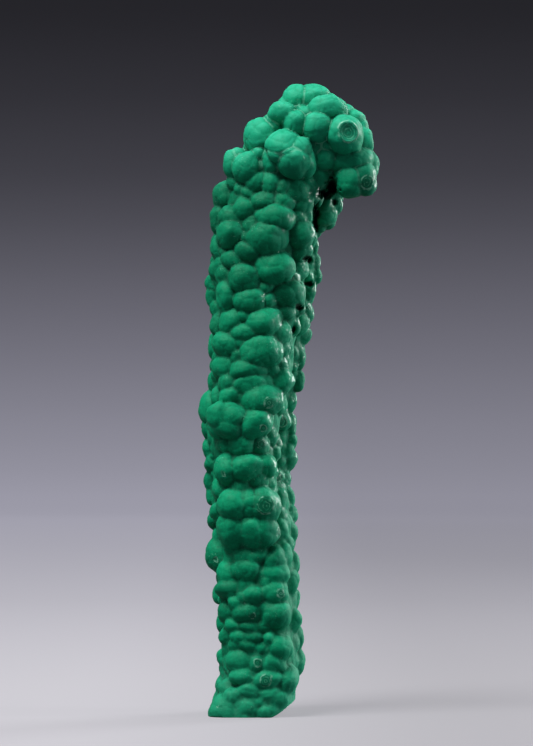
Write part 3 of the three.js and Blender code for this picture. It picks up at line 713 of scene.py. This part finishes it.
def above_mean(rounds, most):
    """How far the skin stands above its own smoothed shape: 0 is `most` below it and 1 is `most` above."""
    above = ((places - smoothed(rounds)) * normals).sum(axis=1)
    return np.clip(0.5 + 0.5 * above / most, 0, 1)


broken, ring = np.zeros(len(places)), np.zeros(len(places))
for tip, outward, radius in tips:
    height, away = across_tip(places, tip, outward, radius)
    share = np.clip((1.2 - away) / 0.25, 0, 1) * (np.abs(height) < 1.6 * radius)
    ring = np.where(share > broken, away * radius / RING_EVERY, ring)
    broken = np.maximum(broken, share)
spots = {
    "crease": np.exp(-np.clip(second - first, 0, None) / (0.45 * MM)),
    "shade": shade[number],
    "upward": np.clip(normals[:, 2], 0, 1),
    "broken": broken,
    "ring": ring,
    "net": cluster_crease,
    "bulge": above_mean(24, 0.4 * MM),
    "stands": above_mean(160, 1.2 * MM),
    "to_right": np.clip((normals[:, 0] - 0.25) / 0.3, 0, 1),
    "hollow": in_hollow,
}
for name, values in spots.items():
    attribute = malachite.data.attributes.new(name, "FLOAT", "POINT")
    attribute.data.foreach_set("value", values.astype(np.float32))


# The foot is broken off flat, and chipped away under its right side.
CHIP_START = 6.4 * MM
CHIP_SLOPE = math.radians(32)
bpy.ops.object.mode_set(mode="EDIT")
bpy.ops.mesh.select_all(action="SELECT")
bpy.ops.mesh.bisect(plane_co=(0, 0, 0), plane_no=(0, 0, 1), use_fill=True, clear_inner=True)
bpy.ops.mesh.select_all(action="SELECT")
bpy.ops.mesh.bisect(
    plane_co=(CHIP_START, 0, 0),
    plane_no=(-math.sin(CHIP_SLOPE), 0, math.cos(CHIP_SLOPE)),
    use_fill=True,
    clear_inner=True,
)
bpy.ops.mesh.select_all(action="SELECT")
bpy.ops.mesh.quads_convert_to_tris()
bpy.ops.object.mode_set(mode="OBJECT")

# Fewer triangles, most of them kept in the creases.
MOST_TRIANGLES = 190000
bpy.ops.object.modifier_add(type="DECIMATE")
malachite.modifiers[-1].ratio = min(1.0, MOST_TRIANGLES / len(malachite.data.polygons))
bpy.ops.object.modifier_apply(modifier=malachite.modifiers[-1].name)
places = read("co")
places[:, 2] = places[:, 2].clip(0)
set_places(places)
bpy.ops.object.shade_smooth_by_angle(angle=math.radians(60))


def grow_colour(malachite):
    """Silky green malachite: painted shade darkens its creases, dust and painted sheen make its tops paler,
    and it has rings where it is broken.
    """
    material, stone, shader = material_nodes("silky_malachite")

    def spot(name):
        return stone.add("ShaderNodeAttribute", {"attribute_name": name}, output=2)

    def cloud(wave, detail=3.0, rough=0.5):
        return stone.add(
            "ShaderNodeTexNoise",
            inputs={"Vector": place, "Scale": 1 / wave, "Detail": detail, "Roughness": rough},
        )

    place = stone.add("ShaderNodeTexCoord", output=3)
    z = place.add("ShaderNodeSeparateXYZ", inputs={0: place}, output=2)
    height = z.rise(0.122, 0.138)
    shade_under_crown = z.rise(0.104, 0.114) * (1 - z.rise(0.124, 0.132))
    crease, knob_shade, upward, to_right = spot("crease"), spot("shade"), spot("upward"), spot("to_right")
    broken, ring, bulge, stands = spot("broken"), spot("ring"), spot("bulge"), spot("stands")
    deep, mid, light = (0.0010, 0.030, 0.016, 1), (0.0004, 0.150, 0.069, 1), (0.0008, 0.275, 0.127, 1)
    crown_green, line_green = (0.012, 0.39, 0.218, 1), (0.20, 0.66, 0.45, 1)
    shadow_black = (0.0005, 0.008, 0.005, 1)
    pale, white = (0.055, 0.56, 0.350, 1), (0.22, 0.56, 0.40, 1)

    # Broad clouds, fine mottling and a shade of its own for each knob.
    fine = cloud(0.5 * MM, 4.0, 0.65)
    tone = cloud(7 * MM) * 0.22 + cloud(0.9 * MM, 5.0, 0.8) * 0.60 + knob_shade * 0.18
    green = tone.rise(0.30, 0.66).between(mid, light)
    green = (height * 0.55).between(green, crown_green)
    # Dust and bruising make the tops of the knobs paler, most of all on the crown, and so does painted
    # sheen from the light above.
    dust_and_sheen = (upward + height * 0.25).rise(0.20, 1.0)
    dust_and_sheen = dust_and_sheen * (cloud(2.0 * MM, 5.0, 0.65).rise(0.3, 0.7) * 0.6 + 0.4)
    green = (dust_and_sheen * bulge.rise(0.40, 0.75) * (0.30 + height * 0.70)).between(green, pale)
    # Painted shade darkens the neck under the overhanging crown, and the upper shaft below it is a little
    # darker too.
    upper_shaft = z.rise(0.072, 0.084) * (1 - z.rise(0.104, 0.114))
    green = (shade_under_crown * 0.25 + upper_shaft * 0.12).between(green, deep)
    # Painted light: the foot is paler, standing in for light thrown up from the floor.
    green = ((1 - z.rise(0.004, 0.020)) * 0.13).between(green, pale)
    # Painted shade: the gaps between knobs and the creases are darkened.
    in_gap = 1 - stands.rise(0.10, 0.60)
    in_crease = 1 - bulge.rise(0.15, 0.56)
    green = (in_gap * 0.74).between(green, deep)
    green = (in_crease * 0.50).between(green, deep)
    # Painted light: the side that faces right is a little paler.
    green = (to_right * (1 - in_gap) * (1 - height) * 0.20).between(green, pale)
    # Fine pale lines run along some creases, most of them on the crown.
    thin_line = crease.rise(0.55, 0.82) + spot("net").rise(0.50, 0.90) * 0.4
    thin_line = thin_line * cloud(3 * MM).rise(0.44, 0.56) * (height * 0.60 + 0.08)
    green = (thin_line * 0.6).between(green, line_green)
    # Painted shadow: the deep hollows are darkened almost to black.
    green = (spot("hollow").rise(0.1, 0.7) * 0.92).between(green, shadow_black)
    specks = cloud(0.4 * MM, 2.0).rise(0.66, 0.72) * cloud(6 * MM).rise(0.50, 0.62)
    green = (specks * 0.4).between(green, white)
    # A broken tip is dark between its growth rings, and its rim is pale.
    wavy = ring + cloud(1.2 * MM) * 1.7
    line = (stone.math("SINE", wavy * math.tau) * 0.5 + 0.5) ** 5.0
    rim = broken.rise(0.05, 0.5) * (1 - broken.rise(0.6, 1.0))
    green = (broken * (1 - line) * 0.45).between(green, deep)
    green = (broken * line * cloud(0.9 * MM).rise(0.46, 0.60) * 0.22).between(green, white)
    green = (rim * cloud(1.3 * MM).rise(0.42, 0.58) * 0.60).between(green, white)
    stone.tree.links.new(green.socket, shader.inputs["Base Color"])

    roughness = 0.56 + in_crease * 0.2 + (fine - 0.5) * 0.2 - broken * 0.15
    stone.tree.links.new(roughness.socket, shader.inputs["Roughness"])
    # Small glassy patches on the side that faces right, above the worn lower shaft. The breaks shine too.
    lustre = to_right * (1 - in_gap) * (1 - height * 0.8) * cloud(1.8 * MM).rise(0.47, 0.58)
    lustre = lustre * z.rise(0.035, 0.065) * 0.50 + broken * 0.15
    stone.tree.links.new(lustre.socket, shader.inputs["Coat Weight"])
    relief = fine * 0.5 + cloud(0.22 * MM, 2.0) * 0.3 + cloud(1.2 * MM, 3.0, 0.6) * 0.6
    bump = stone.add("ShaderNodeBump", inputs={"Strength": 0.85, "Distance": 0.15 * MM, "Height": relief})
    stone.tree.links.new(bump.socket, shader.inputs["Normal"])
    shader.inputs["Specular IOR Level"].default_value = 0.09
    shader.inputs["Coat Roughness"].default_value = 0.13
    malachite.data.materials.clear()
    malachite.data.materials.append(material)


grow_colour(malachite)
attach(malachite, "root")
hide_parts("malachite_stalactite")
